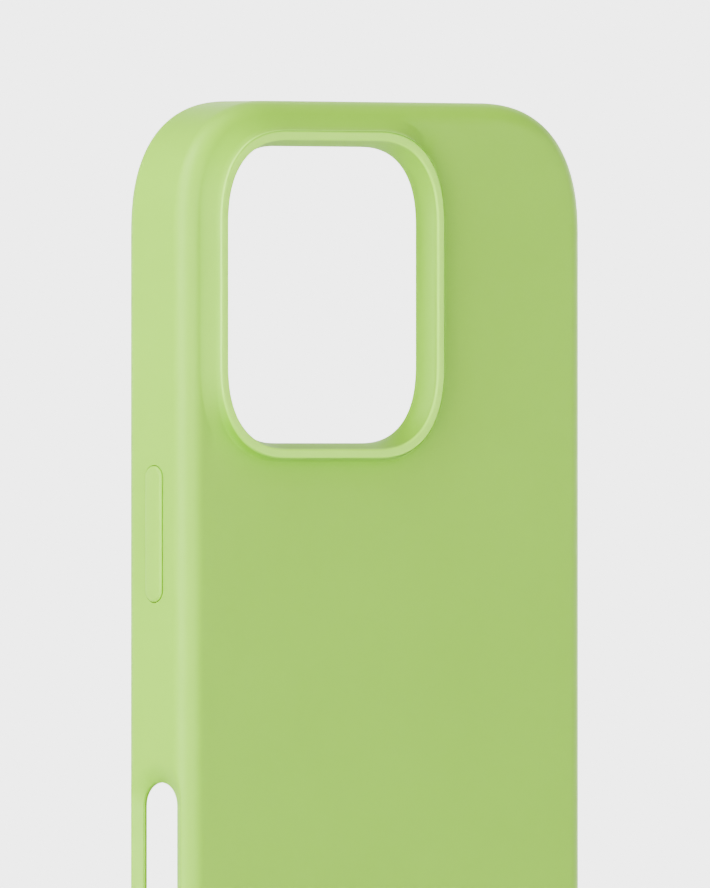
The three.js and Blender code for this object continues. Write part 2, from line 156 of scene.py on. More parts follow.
def case_outline(inset):
    """The case seen from the back, drawn in by an inset."""
    return np.array([
        -HALF_WIDTH + inset,
        HALF_WIDTH - inset,
        inset,
        HEIGHT - inset,
        CORNER_REACH - inset,
    ])


def window_outline(grow):
    """The camera window, grown outwards."""
    return np.array([
        COLLAR_X - WINDOW_HALF[0] - grow,
        COLLAR_X + WINDOW_HALF[0] + grow,
        COLLAR_Z - WINDOW_HALF[1] - grow,
        COLLAR_Z + WINDOW_HALF[1] + grow,
        WINDOW_REACH + grow,
    ])


def side_stations():
    """Fractions along each straight side: even, and much finer on the left past the dish."""
    top = np.linspace(0, 1, 26)[1:-1]
    bottom = np.linspace(0, 1, 42)[1:-1]
    right = np.linspace(0, 1, 70)[1:-1]
    run = HEIGHT - 2 * CORNER_REACH
    centre = (HEIGHT - CORNER_REACH - SLOT_Z) / run
    reach = (SLOT_LENGTH / 2 + DISH_REACH + 1.5) / run
    left = np.concatenate([
        np.linspace(0, centre - reach, 48)[1:-1],
        np.linspace(centre - reach, centre + reach, 110),
        np.linspace(centre + reach, 1, 16)[1:-1],
    ])
    return top, left, bottom, right


STATIONS = side_stations()


def outline_points(outline):
    """Points of an outline, anticlockwise from the right side, as rows of x, z."""
    left, right, bottom, top, reach = outline
    corners = (
        (right, top, 1, 1),
        (left, top, -1, 1),
        (left, bottom, -1, -1),
        (right, bottom, 1, -1),
    )
    runs = []
    for number, (x, z, sign_x, sign_z) in enumerate(corners):
        angles = CORNER_ANGLES if number % 2 == 0 else CORNER_ANGLES[::-1]
        across = np.cos(angles).clip(0) ** (2 / CORNER_POWER)
        along = np.sin(angles).clip(0) ** (2 / CORNER_POWER)
        corner_x = x - sign_x * reach * (1 - across)
        corner_z = z - sign_z * reach * (1 - along)
        runs.append(np.stack([corner_x, corner_z], 1))
    points = []
    for number in range(4):
        start = runs[number][-1]
        end = runs[(number + 1) % 4][0]
        share = STATIONS[number][:, None]
        points.append(runs[number])
        points.append(start + (end - start) * share)
    return np.concatenate(points)


def excess(points, outline, grow):
    """Above 0 where a point lies outside the outline grown by an amount, below 0 inside."""
    left, right, bottom, top, reach = outline
    half_x = (right - left) / 2 + grow
    half_z = (top - bottom) / 2 + grow
    reach = reach + grow
    from_x = np.abs(points[:, 0] - (left + right) / 2)
    from_z = np.abs(points[:, 1] - (bottom + top) / 2)
    across = (from_x - half_x + reach) / reach
    along = (from_z - half_z + reach) / reach
    corner = across.clip(0) ** CORNER_POWER + along.clip(0) ** CORNER_POWER - 1
    straight = np.maximum(across, along) - 1
    return np.where((across > 0) & (along > 0), corner, straight)


def distance_outside(points, outline, low, high):
    """How far each point lies outside an outline, by halving the range from low to high."""
    lows = np.full(len(points), low)
    highs = np.full(len(points), high)
    for _ in range(44):
        middles = (lows + highs) / 2
        outside = excess(points, outline, middles) > 0
        lows = np.where(outside, middles, lows)
        highs = np.where(outside, highs, middles)
    return lows


# ---- The outer back: flat, rounded to the sides, raised round the camera window ---------------

FOOT_INSET = 1.6
FOOT_STEP = 0.15
STEEP_WIDTH = 0.6
STEEP_SHARE = 0.62
FOOT_SLOPE = 0.65
SQUEEZED_WIDTH = 3.0
SQUEEZED_STEEPNESS = 0.2
WIDTH_BLEND = 1.2
MIN_WIDTH = 0.5


def mix(a, b, share):
    """Part of the way from one value to another."""
    return a + (b - a) * share


def smooth_min(a, b, width):
    """The lesser of two values, blended over a width where they meet."""
    share = (0.5 + 0.5 * (b - a) / width).clip(0, 1)
    return b * (1 - share) + a * share - width * share * (1 - share)


def edge_drop(inset):
    """How far the back falls away at an inset from the case's outline."""
    run = (BACK_ROUND - inset).clip(0, BACK_ROUND)
    return BACK_ROUND - np.sqrt(BACK_ROUND ** 2 - run ** 2)


def back_surface(outline):
    """An outline laid on the outer back, as rows of x, y, z. A concave fillet leads up to the
    collar, and where the case's edge is near it meets the rounding there in a shallow crease."""
    points = outline_points(outline)
    inset = -distance_outside(points, case_outline(0), -CORNER_REACH * 0.98, 0.0)
    from_lip = distance_outside(points, window_outline(LIP_OUTER), 0.0, FILLET_WIDTH * 1.5)
    room = (inset - FOOT_INSET).clip(0) + from_lip
    width = smooth_min(room, np.full(len(points), FILLET_WIDTH), WIDTH_BLEND).clip(MIN_WIDTH)
    left = (1 - from_lip / width).clip(0, 1)
    squeeze = ((FILLET_WIDTH - width) / (FILLET_WIDTH - SQUEEZED_WIDTH)).clip(0, 1)
    slope = FOOT_SLOPE * squeeze
    foot_drop = edge_drop(FOOT_INSET + (room - width).clip(0))
    soft = slope * left + (1 - slope) * left ** FILLET_POWER
    steep = (1 - from_lip / STEEP_WIDTH).clip(0, 1) ** 2
    share = STEEP_SHARE * mix(1, SQUEEZED_STEEPNESS, squeeze)
    rise = mix(soft, steep, share)
    fillet = (COLLAR_HEIGHT + foot_drop) * rise - foot_drop
    drop = edge_drop(inset)
    y = BACK_Y + np.where(left > 0, np.minimum(drop, -fillet), drop)
    return np.stack([points[:, 0], y, points[:, 1]], 1)


# ---- Meshes -----------------------------------------------------------------------------------

def new_object(name, points, faces):
    """Mesh object from points in millimetres, in the scene."""
    mesh = bpy.data.meshes.new(name)
    mesh.from_pydata((np.asarray(points) * MM).tolist(), [], faces)
    mesh.update()
    obj = bpy.data.objects.new(name, mesh)
    bpy.context.scene.collection.objects.link(obj)
    return obj


def cap_volume(points):
    """Six times the signed volume between a flat face and the origin."""
    return (np.cross(points[:1], points[1:-1]) * points[2:]).sum()


def loft(name, rings, closed=False):
    """Skin between rings of equally many points. A closed loft's last ring joins its first,
    which leaves a hole through the middle; an open one is capped at each end."""
    rings = np.asarray(rings)
    ring_count, count, _ = rings.shape
    points = rings.reshape(-1, 3)
    here = np.arange(count)
    after = (here + 1) % count
    bands = []
    for band in range(ring_count if closed else ring_count - 1):
        start = band * count
        end = ((band + 1) % ring_count) * count
        bands.append(np.stack([start + here, start + after, end + after, end + here], 1))
    quads = np.concatenate(bands)
    a, b, c, d = (points[quads[:, corner]] for corner in range(4))
    volume = (np.cross(a, b) * c).sum() + (np.cross(a, c) * d).sum()
    faces = quads.tolist()
    if not closed:
        for cap in (here[::-1], (ring_count - 1) * count + here):
            faces.append(cap.tolist())
            volume += cap_volume(points[cap])
    if volume < 0:
        faces = [face[::-1] for face in faces]
    return new_object(name, points, faces)


def block(name, low, high):
    """Box between two corners, to cut or join with."""
    x, y, z = zip(low, high)
    ends = [[(x[i], y[j], z[k]) for i, j in ((0, 0), (1, 0), (1, 1), (0, 1))] for k in (0, 1)]
    return loft(name, ends)


def apply_modifiers(obj):
    """Bakes the object's modifiers into its mesh."""
    evaluated = obj.evaluated_get(bpy.context.evaluated_depsgraph_get())
    mesh = bpy.data.meshes.new_from_object(evaluated)
    obj.modifiers.clear()
    obj.data = mesh


def cut(obj, cutters):
    """Cuts solids out of an object, and removes them."""
    group = bpy.data.collections.new("cutters")
    bpy.context.scene.collection.children.link(group)
    for cutter in cutters:
        bpy.context.scene.collection.objects.unlink(cutter)
        group.objects.link(cutter)
    modifier = obj.modifiers.new("cut", "BOOLEAN")
    modifier.operation = "DIFFERENCE"
    modifier.solver = "EXACT"
    modifier.operand_type = "COLLECTION"
    modifier.collection = group
    apply_modifiers(obj)
    for cutter in cutters:
        bpy.data.objects.remove(cutter)
    bpy.data.collections.remove(group)


def finish_piece(obj, body, material, nodes, crease_degrees=35):
    """Smooth shading with creases, a material, and the CAD nodes that the piece stands for."""
    mesh = obj.data
    mesh.materials.clear()
    mesh.materials.append(material)
    mesh.shade_smooth()
    mesh.set_sharp_from_angle(angle=math.radians(crease_degrees))
    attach(obj, body)
    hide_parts(*nodes)


# ---- Slots in the walls -----------------------------------------------------------------------

PILL_STEPS = 22
CUTTER_START = 1.5
BOTTOM_CUT = 3.5


def pill(length, width):
    """A slot's outline, as along and across."""
    radius = width / 2
    angles = np.linspace(-math.pi / 2, math.pi / 2, PILL_STEPS)
    along = length / 2 - radius + radius * np.cos(angles)
    across = radius * np.sin(angles)
    return np.concatenate([along, -along]), np.concatenate([across, -across])


def side_pill(side, z, length, width, inset):
    """A slot's outline on a side wall, at an inset from its outer face."""
    along, across = pill(length, width)
    x = np.full(len(along), side * (HALF_WIDTH - inset))
    return np.stack([x, KEY_Y + across, z + along], 1)


def bottom_pill(x, length, width, z):
    """A slot's outline in the bottom wall, at a height."""
    along, across = pill(length, width)
    return np.stack([x + along, PORT_Y + across, np.full(len(along), z)], 1)


def mouth_profile(radius, level):
    """Growth and depth of a slot whose mouth is rounded over, from outside the wall inwards."""
    angles = np.linspace(math.radians(12), math.pi / 2, 7)
    growths = radius * (1 - np.sin(angles))
    depths = level + radius * (1 - np.cos(angles))
    return [(growths[0], level - CUTTER_START), *zip(growths, depths)]


def side_cutter(side, z, length, width, radius, level, end):
    """Slot through a side wall, rounded over where it meets the surface at a level."""
    profile = [*mouth_profile(radius, level), (0.0, end)]
    rings = [side_pill(side, z, length + 2 * g, width + 2 * g, inset) for g, inset in profile]
    return loft("cutter", rings)


def bottom_cutters(grow, radius):
    """The port and the two speaker slots, grown by an amount."""
    cutters = []
    for x, length, width in (PORT, *SPEAKERS):
        profile = [*mouth_profile(radius, 0.0), (0.0, BOTTOM_CUT)]
        rings = []
        for rounding, z in profile:
            spread = 2 * (grow + rounding)
            rings.append(bottom_pill(x, length + spread, width + spread, z))
        cutters.append(loft("cutter", rings))
    return cutters


def button_place(name):
    """Side, height and length of a button, from its CAD cap's flange."""
    low, high = node_box(name + "_cap")
    side = 1 if high[0] > 0 else -1
    return side, (low[2] + high[2]) / 2, high[2] - low[2] - FLANGE_GROW


# ---- Silicone shell ---------------------------------------------------------------------------

def ring(outline, y):
    """An outline's points at a depth, as rows of x, y, z."""
    points = outline_points(outline)
    return np.stack([points[:, 0], np.full(len(points), y), points[:, 1]], 1)


def window_wall():
    """Rings up the inside of the camera window and over the lip of its collar."""
    rings = [ring(window_outline(0), BACK_Y + CORE_FLOOR)]
    straight_end = BACK_Y + STRAIGHT_HEIGHT
    flare_end = LIP_Y + LIP_ROUND
    for share in np.linspace(0, 1, 12):
        grow = FLARE_GROW * share ** 1.5
        rings.append(ring(window_outline(grow), mix(straight_end, flare_end, share)))
    for angle in np.linspace(0, math.pi / 2, 8)[1:]:
        grow = FLARE_GROW + LIP_ROUND * (1 - math.cos(angle))
        rings.append(ring(window_outline(grow), flare_end - LIP_ROUND * math.sin(angle)))
    rings.append(ring(window_outline(LIP_OUTER - LIP_EDGE - LIP_STEP), LIP_Y))
    for angle in np.linspace(0, math.pi / 2, 6):
        grow = LIP_OUTER - LIP_EDGE * (1 - math.sin(angle))
        rings.append(ring(window_outline(grow), LIP_Y + LIP_EDGE * (1 - math.cos(angle))))
    return rings


def outer_back():
    """Rings from the lip's foot, down the fillet, over the flat and round to the sides."""
    lip = window_outline(LIP_OUTER)
    limit = case_outline(FOOT_INSET)
    reach = FILLET_WIDTH + FILLET_RUNOUT
    foot = np.array([
        max(lip[0] - reach, limit[0]),
        lip[1] + reach,
        lip[2] - reach,
        min(lip[3] + reach, limit[3]),
        limit[4],
    ])
    on_round = case_outline(FOOT_INSET - FOOT_STEP)
    on_flat = case_outline(BACK_ROUND)
    flat_end = np.array([on_round[0], on_flat[1], on_flat[2], on_round[3], on_flat[4]])
    closer_at_lip = np.linspace(0, 1, 40)[1:] ** 1.6
    rings = [back_surface(mix(lip, foot, share)) for share in closer_at_lip]
    rings += [back_surface(mix(foot, flat_end, share)) for share in np.linspace(0, 1, 14)[1:]]
    edge = np.sin(np.linspace(0, math.pi / 2, 20))[1:]
    rings += [back_surface(mix(flat_end, case_outline(0), share)) for share in edge]
    return rings


def outer_wall():
    """Rings across the side walls and over the front rim, to the bead that holds the phone."""
    rings = []
    for y in np.linspace(BACK_Y + BACK_ROUND, RIM_Y - RIM_ROUND, 28)[1:]:
        rings.append(ring(case_outline(0), y))
    for angle in np.linspace(0, math.pi / 2, 13)[1:]:
        inset = RIM_ROUND * (1 - math.cos(angle))
        rings.append(ring(case_outline(inset), RIM_Y - RIM_ROUND * (1 - math.sin(angle))))
    return rings


def scooped(points):
    """Presses the dish for the touch key into the left wall."""
    points = points.copy()
    y = points[:, 1] - KEY_Y
    z = np.abs(points[:, 2] - SLOT_Z) - (SLOT_LENGTH - SLOT_WIDTH) / 2
    from_slot = np.hypot(y, z.clip(0)) - SLOT_WIDTH / 2
    run = (1 - from_slot / DISH_REACH).clip(0, 1.2)
    dish = DISH_DEPTH * run ** 2
    inset = points[:, 0] + HALF_WIDTH
    dished = -smooth_min(-inset, -dish, DISH_BLEND)
    near = (inset < DISH_WALL) & (from_slot < DISH_REACH * DISH_SPREAD)
    points[:, 0] = np.where(near & (dish > 0), dished - HALF_WIDTH, points[:, 0])
    return points


def padded_ring(inset, pad_inset, y):
    """An inner ring that steps in where the silicone pad surrounds the touch key's slot."""
    points = ring(case_outline(inset), y)
    from_end = PAD_HALF_LENGTH - np.abs(points[:, 2] - SLOT_Z)
    share = (from_end / PAD_STEP + 0.5).clip(0, 1)
    on_left = points[:, 0] < 0
    points[:, 0] += np.where(on_left, (pad_inset - inset) * share, 0)
    return points


def inner_side():
    """Rings from the bead at the rim, down the inside and across the floor to the window."""
    rings = []
    for angle in np.linspace(0, math.pi / 2, 7)[1:]:
        inset = RIM_ROUND + (BEAD_INSET - RIM_ROUND) * math.sin(angle)
        drop = BEAD_DROP * (1 - math.cos(angle))
        rings.append(ring(case_outline(inset), RIM_Y - drop))
    for share in (0.35, 0.7, 1.0):
        inset = mix(BEAD_INSET, LINING_WALL, share)
        rings.append(ring(case_outline(inset), RIM_Y - mix(BEAD_DROP, BEAD_SHELF, share)))
    pad_inset = LINING_WALL - PAD_PROUD
    for y in np.linspace(RIM_Y - BEAD_SHELF, BACK_Y + BACK_ROUND, 8):
        rings.append(padded_ring(SHELL_WALL, pad_inset, y))
    radius = BACK_ROUND - SHELL_WALL
    centre_y = BACK_Y + BACK_ROUND
    for angle in np.radians([8, 17, 18.5, 28, 40, 52, 64, 77, 90]):
        inset = SHELL_WALL + radius * (1 - math.cos(angle))
        on_pad = angle < PAD_END_ANGLE
        y = centre_y - radius * math.sin(angle)
        rings.append(padded_ring(inset, pad_inset if on_pad else inset, y))
    floor_y = BACK_Y + SHELL_FLOOR
    under_collar = BACK_Y - UNDER_COLLAR
    rings.append(ring(window_outline(LIP_OUTER + RISER_FOOT), floor_y))
    rings.append(ring(window_outline(LIP_OUTER + RISER_TOP), under_collar))
    rings.append(ring(window_outline(SHELL_WALL), under_collar))
    rings.append(ring(window_outline(SHELL_WALL), BACK_Y + CORE_FLOOR))
    return rings


def build_shell(material):
    """One moulding: window wall, back, sides, rim and inside, with its slots cut through."""
    outer = [*outer_back(), *outer_wall()]
    rings = [*window_wall(), *(scooped(points) for points in outer), *inner_side()]
    shell = loft("shell", rings, closed=True)
    cutters = bottom_cutters(grow=0.0, radius=0.25)
    for name in BUTTONS:
        side, z, length = button_place(name)
        gap = 2 * KEY_GROOVE
        size = (length + gap, CAP_WIDTH + gap)
        cutters.append(side_cutter(side, z, *size, radius=0.1, level=0.0, end=1.3))
    size = (SLOT_LENGTH, SLOT_WIDTH)
    level = DISH_DEPTH - 0.02
    cutters.append(side_cutter(-1, SLOT_Z, *size, radius=0.14, level=level, end=3.0))
    cut(shell, cutters)
    finish_piece(shell, "case", material, ["silicone_shell"])


# ---- Hard core --------------------------------------------------------------------------------

def annulus(inner, outer, y0, y1, steps=120):
    """Flat ring about the magnet centre, for the recess."""
    angles = np.linspace(0, 2 * math.pi, steps, endpoint=False)
    rings = []
    for radius, y in ((inner, y0), (outer, y0), (outer, y1), (inner, y1)):
        x = radius * np.cos(angles)
        z = HEIGHT / 2 + radius * np.sin(angles)
        rings.append(np.stack([x, np.full(steps, y), z], 1))
    return loft("cutter", rings, closed=True)


def build_core(material):
    """Hard tub inside the shell, with a ring in the collar and a recess for the magnets."""
    outer_inset = SHELL_WALL + GLUE
    radius = BACK_ROUND - outer_inset
    outer_y = BACK_Y + SHELL_FLOOR + GLUE
    inner_y = BACK_Y + CORE_FLOOR
    front_y = RIM_Y - CORE_FRONT_GAP
    rings = [
        ring(window_outline(outer_inset), inner_y),
        ring(window_outline(outer_inset), BACK_Y - GLUE),
        ring(window_outline(LIP_OUTER + RISER_TOP - RISER_GAP), BACK_Y - GLUE),
        ring(window_outline(LIP_OUTER + RISER_FOOT - RISER_GAP), outer_y),
    ]
    for angle in np.linspace(0, math.pi / 2, 10):
        inset = outer_inset + radius * (1 - math.sin(angle))
        rings.append(ring(case_outline(inset), outer_y + radius * (1 - math.cos(angle))))
    rings.append(ring(case_outline(outer_inset), front_y))
    rings.append(ring(case_outline(CORE_WALL), front_y))
    rings.append(ring(case_outline(CORE_WALL), inner_y))
    core = loft("core", rings, closed=True)
    cutters = bottom_cutters(grow=HOLE_STEP, radius=0.1)
    for name in BUTTONS:
        side, z, length = button_place(name)
        grow = FLANGE_GROW + FLANGE_CLEARANCE
        size = (length + grow, CAP_WIDTH + grow)
        cutters.append(side_cutter(side, z, *size, radius=0.05, level=0.8, end=2.0))
    notch_half = PAD_HALF_LENGTH + PAD_CLEARANCE
    cutters.append(block(
        "cutter",
        (-HALF_WIDTH - 1, BACK_Y + NOTCH_START, SLOT_Z - notch_half),
        (-HALF_WIDTH + NOTCH_DEPTH, RIM_Y, SLOT_Z + notch_half),
    ))
    recess_y = BACK_Y + RECESS_FLOOR
    cutters.append(annulus(*RECESS_RADII, recess_y, inner_y + 1))
    low, high = node_box("key_magnet")
    gap = KEY_MAGNET_CLEARANCE
    cutters.append(block(
        "cutter",
        (low[0] - gap, recess_y, low[2] - gap),
        (high[0] + gap, inner_y + 1, high[2] + gap),
    ))
    cut(core, cutters)
    finish_piece(core, "case", material, ["core_frame"])


# ---- Microfibre lining ------------------------------------------------------------------------

def build_back_lining(material):
    """Cloth laid on the core's floor, with a hole for the camera window."""
    y0, y1 = BACK_Y + CORE_FLOOR + GLUE, BACK_Y + LINING_FLOOR
    from_window = SHELL_WALL + WINDOW_SEAM
    inner = window_outline(from_window)
    outer = case_outline(LINING_WALL + GLUE)
    soft = NAP_ROUND
    rings = [
        ring(window_outline(from_window + soft), y1),
        ring(inner, y1 - soft),
        ring(inner, y0),
        ring(outer, y0),
        ring(outer, y1 - soft),
        ring(case_outline(LINING_WALL + GLUE + soft), y1),
    ]
    lining = loft("back_lining_cloth", rings, closed=True)
    finish_piece(lining, "case", material, ["back_lining"])


def lining_section(outer, inner, y0, y1):
    """One section of a wall strip, its two front corners rounded like a cut edge of cloth."""
    soft = NAP_ROUND / 2
    towards = (inner - outer) / np.linalg.norm(inner - outer)
    corners = [
        (outer, y0),
        (outer, y1),
        (inner - towards * soft, y1),
        (inner, y1 - soft),
        (inner, y0 + soft),
        (inner - towards * soft, y0),
    ]
    return np.array([(point[0], y, point[1]) for point, y in corners])


def strip_sections(side_index):
    """Sections of one wall strip, from the middle of a corner to the middle of the next."""
    y0 = BACK_Y + LINING_FLOOR + GLUE
    y1 = RIM_Y - CORE_FRONT_GAP - GLUE
    outer = outline_points(case_outline(CORE_WALL + STRIP_GAP))
    inner = outline_points(case_outline(LINING_WALL))
    per_corner = len(CORNER_ANGLES)
    starts = np.cumsum([0, *(per_corner + len(side) for side in STATIONS)])
    middle = per_corner // 2
    first = starts[side_index] + middle
    last = starts[side_index + 1] + middle
    sections = []
    for index in range(first, last + 1):
        at = index % len(outer)
        sections.append(lining_section(outer[at], inner[at], y0, y1))
    sections[0] = mix(sections[0], sections[1], SEAM_SHARE)
    sections[-1] = mix(sections[-1], sections[-2], SEAM_SHARE)
    return sections


def pusher_cutters(side):
    """Holes in a wall lining for the pushers on one side."""
    cutters = []
    for name in BUTTONS:
        button_side, z, length = button_place(name)
        if button_side == side:
            size = (length - PUSHER_SHORTER + PUSHER_CLEARANCE, PUSHER_WIDTH + PUSHER_CLEARANCE)
            cutters.append(side_cutter(side, z, *size, radius=0.03, level=1.3, end=3.0))
    return cutters


def build_wall_linings(material):
    """Four strips round the walls; the left one is in two, with the slot's pad between."""
    half = PAD_HALF_LENGTH + PAD_CLEARANCE
    pieces = [
        ("top_lining", 0, []),
        ("bottom_lining", 2, bottom_cutters(grow=HOLE_STEP, radius=0.02)),
        ("right_lining", 3, pusher_cutters(1)),
    ]
    above = block("cutter", (-BEYOND, -BEYOND, -BEYOND), (0, BEYOND, SLOT_Z + half))
    below = block("cutter", (-BEYOND, -BEYOND, SLOT_Z - half), (0, BEYOND, BEYOND))
    pieces.append(("left_lining_upper", 1, [above, *pusher_cutters(-1)]))
    pieces.append(("left_lining_lower", 1, [below]))
    for node, side_index, cutters in pieces:
        strip = loft(node + "_cloth", strip_sections(side_index))
        if cutters:
            cut(strip, cutters)
        finish_piece(strip, "case", material, [node])


# ---- Buttons ----------------------------------------------------------------------------------

def build_button(name, cap_material, pusher_material):
    """A crowned cap with a flange behind the wall, and the hard pad that reaches the phone."""
    side, z, length = button_place(name)

    def pill_at(grow, inset):
        return side_pill(side, z, length + 2 * grow, CAP_WIDTH + 2 * grow, inset)

    face = -CAP_PROUD + CAP_CROWN
    flat = CAP_WIDTH / 2 - CAP_EDGE_WIDTH
    rings = [pill_at(CAP_CENTRE - CAP_WIDTH / 2, -CAP_PROUD)]
    for share in np.linspace(0.1, 0.9, 8):
        rings.append(pill_at(flat * share - CAP_WIDTH / 2, -CAP_PROUD + CAP_CROWN * share ** 2))
    for angle in np.linspace(0, math.pi / 2, 12):
        back_off = CAP_EDGE_WIDTH * (1 - math.sin(angle))
        rings.append(pill_at(-back_off, face + CAP_EDGE_DEPTH * (1 - math.cos(angle))))
    flange_inset = SHELL_WALL + GLUE
    flange_grow = FLANGE_GROW / 2
    rings.append(pill_at(0, flange_inset))
    rings.append(pill_at(flange_grow - FLANGE_ROUND, flange_inset))
    rings.append(pill_at(flange_grow, flange_inset + FLANGE_ROUND))
    rings.append(pill_at(flange_grow, flange_inset + FLANGE_THICKNESS))
    cap = loft(name + "_silicone", rings)
    finish_piece(cap, name, cap_material, [name + "_cap"], crease_degrees=50)

    low, high = node_box(name + "_pusher")
    start, end = sorted((HALF_WIDTH - abs(low[0]), HALF_WIDTH - abs(high[0])))
    size = (high[2] - low[2], high[1] - low[1])
    rings = [side_pill(side, z, *size, start)]
    for angle in np.linspace(0, math.pi / 2, 5):
        shrink = 2 * PUSHER_ROUND * (1 - math.cos(angle))
        inset = end - PUSHER_ROUND + PUSHER_ROUND * math.sin(angle)
        rings.append(side_pill(side, z, size[0] - shrink, size[1] - shrink, inset))
    pusher = loft(name + "_pad", rings)
    finish_piece(pusher, name, pusher_material, [name + "_pusher"])


# ---- Materials --------------------------------------------------------------------------------

# A Mix node's colour sockets share their names with its other kinds, so they go by number.
COLOUR_A, COLOUR_B, MIXED_COLOUR = 6, 7, 2


class Shader:
    """A Principled material and short ways to wire procedural detail into it."""

    def __init__(self, name, roughness, **sockets):
        self.material = bpy.data.materials.new(name)
        self.material.use_nodes = True
        self.tree = self.material.node_tree
        self.surface = self.tree.nodes["Principled BSDF"]
        self.surface.inputs["Roughness"].default_value = roughness
        for socket, value in sockets.items():
            self.surface.inputs[socket.replace("_", " ")].default_value = value
        self.place = self.tree.nodes.new("ShaderNodeTexCoord").outputs["Object"]

    def link(self, output, node, socket):
        """Joins an output to a node's named input."""
        self.tree.links.new(output, node.inputs[socket])

    def noise(self, scale, detail=2.0, roughness=0.5, stretch=None):
        """Noise with so many features to a metre, stretched along the axes if asked."""
        node = self.tree.nodes.new("ShaderNodeTexNoise")
        node.inputs["Scale"].default_value = scale
        node.inputs["Detail"].default_value = detail
        node.inputs["Roughness"].default_value = roughness
        place = self.place
        if stretch:
            mapping = self.tree.nodes.new("ShaderNodeMapping")
            mapping.inputs["Scale"].default_value = stretch
            self.link(place, mapping, "Vector")
            place = mapping.outputs["Vector"]
        self.link(place, node, "Vector")
        return node.outputs["Fac"]

    def ramp(self, value, stops):
        """Colours or grey levels along a value."""
        node = self.tree.nodes.new("ShaderNodeValToRGB")
        elements = node.color_ramp.elements
        while len(elements) < len(stops):
            elements.new(0.5)
        for element, (position, colour) in zip(elements, stops):
            element.position = position
            element.color = (*colour, 1.0) if len(colour) == 3 else (colour[0],) * 3 + (1.0,)
        self.link(value, node, "Fac")
        return node.outputs["Color"]

    def tint(self, base, value, darkest, lightest):
        """Multiplies a colour by grey levels that follow a value."""
        node = self.tree.nodes.new("ShaderNodeMix")
        node.data_type = "RGBA"
        node.blend_type = "MULTIPLY"
        node.inputs["Factor"].default_value = 1.0
        self.link(base, node, COLOUR_A)
        self.link(self.ramp(value, [(0.3, (darkest,)), (0.7, (lightest,))]), node, COLOUR_B)
        return node.outputs[MIXED_COLOUR]

    def band(self, axis, start, end):
        """0 at a place along an axis of the object and 1 at another, in metres."""
        separate = self.tree.nodes.new("ShaderNodeSeparateXYZ")
        self.link(self.place, separate, "Vector")
        node = self.tree.nodes.new("ShaderNodeMapRange")
        node.inputs["From Min"].default_value = start
        node.inputs["From Max"].default_value = end
        self.link(separate.outputs[axis], node, "Value")
        return node.outputs["Result"]

    def blend(self, value, under, over):
        """One colour over another, as far as a value says."""
        node = self.tree.nodes.new("ShaderNodeMix")
        node.data_type = "RGBA"
        self.link(value, node, "Factor")
        self.link(under, node, COLOUR_A)
        self.link(over, node, COLOUR_B)
        return node.outputs[MIXED_COLOUR]

    def openness(self, reach):
        """1 on open surfaces, less in hollows and inside corners within a reach."""
        node = self.tree.nodes.new("ShaderNodeAmbientOcclusion")
        node.samples = 8
        node.only_local = True
        node.inputs["Distance"].default_value = reach
        return node.outputs["AO"]

    def colour(self, output):
        """Sets what the surface's colour follows."""
        self.link(output, self.surface, "Base Color")

    def roughness(self, value, low, high):
        """Lets the surface's roughness follow a value between two limits."""
        node = self.tree.nodes.new("ShaderNodeMapRange")
        node.inputs["To Min"].default_value = low
        node.inputs["To Max"].default_value = high
        self.link(value, node, "Value")
        self.link(node.outputs["Result"], self.surface, "Roughness")

    def bump(self, value, height, strength=1.0):
        """Height in metres of a value's full range; later bumps go on top of earlier ones."""
        node = self.tree.nodes.new("ShaderNodeBump")
        node.inputs["Strength"].default_value = strength
        node.inputs["Distance"].default_value = height
        self.link(value, node, "Height")
        earlier = self.surface.inputs["Normal"].links
        if earlier:
            self.link(earlier[0].from_socket, node, "Normal")
        self.link(node.outputs["Normal"], self.surface, "Normal")


# The silicone's mottled colours, darker and lighter, in linear light: the body, the caps, the
# paler lip, and the painted shade of hollows.
SHELL_DARK, SHELL_LIGHT = (0.318, 0.601, 0.072), (0.328, 0.617, 0.076)
CAP_DARK, CAP_LIGHT = (0.330, 0.618, 0.077), (0.340, 0.634, 0.081)
LIP_DARK, LIP_LIGHT = (0.475, 0.845, 0.134), (0.488, 0.865, 0.139)
# Painted shade: the darker, deeper greens that hollows and inside corners take, where shade
# falls.
PAINTED_SHADE_DARK, PAINTED_SHADE_LIGHT = (0.195, 0.480, 0.022), (0.205, 0.495, 0.025)

# Millimetres: how far the painted shade in hollows reaches, and how far under the lip's top it
# turns pale.
PAINTED_SHADE_REACH = 4.0
PALE_FROM = 0.3
PALE_FULL = 0.1


def silicone(name, dark, light):
    """Soft-touch silicone: a matt bloom over a faintly mottled colour, with a very fine grain.
    It is paler on the lip round the camera window, and has painted shade: deeper, darker greens
    in hollows and inside corners."""
    shader = Shader(
        name,
        roughness=0.52,
        IOR=1.5,
        Sheen_Weight=0.16,
        Sheen_Roughness=0.45,
        Subsurface_Weight=0.12,
        Subsurface_Scale=0.0012,
    )
    shader.surface.inputs["Subsurface Radius"].default_value = (1.0, 1.0, 0.45)
    shader.surface.inputs["Sheen Tint"].default_value = (0.86, 0.93, 0.74, 1)
    mottle = shader.noise(55, detail=3)
    grain = shader.noise(9000, detail=2)
    base = shader.ramp(mottle, [(0.3, dark), (0.7, light)])
    painted_shade = shader.ramp(mottle, [(0.3, PAINTED_SHADE_DARK), (0.7, PAINTED_SHADE_LIGHT)])
    pale = shader.ramp(mottle, [(0.3, LIP_DARK), (0.7, LIP_LIGHT)])
    # Painted shade: an occlusion reading of hollows and inside corners blends in the darker
    # greens.
    openness = shader.openness(PAINTED_SHADE_REACH * MM)
    unshaded = shader.ramp(openness, [(0.72, (0, 0, 0)), (0.98, (1, 1, 1))])
    on_lip = shader.band("Y", (LIP_Y + PALE_FROM) * MM, (LIP_Y + PALE_FULL) * MM)
    base = shader.blend(unshaded, painted_shade, base)
    base = shader.blend(on_lip, base, pale)
    shader.colour(shader.tint(base, grain, 0.985, 1.0))
    shader.roughness(shader.noise(400, detail=4), 0.47, 0.57)
    shader.bump(shader.noise(260, detail=1), 0.000004)
    shader.bump(grain, 0.0000035)
    return shader.material


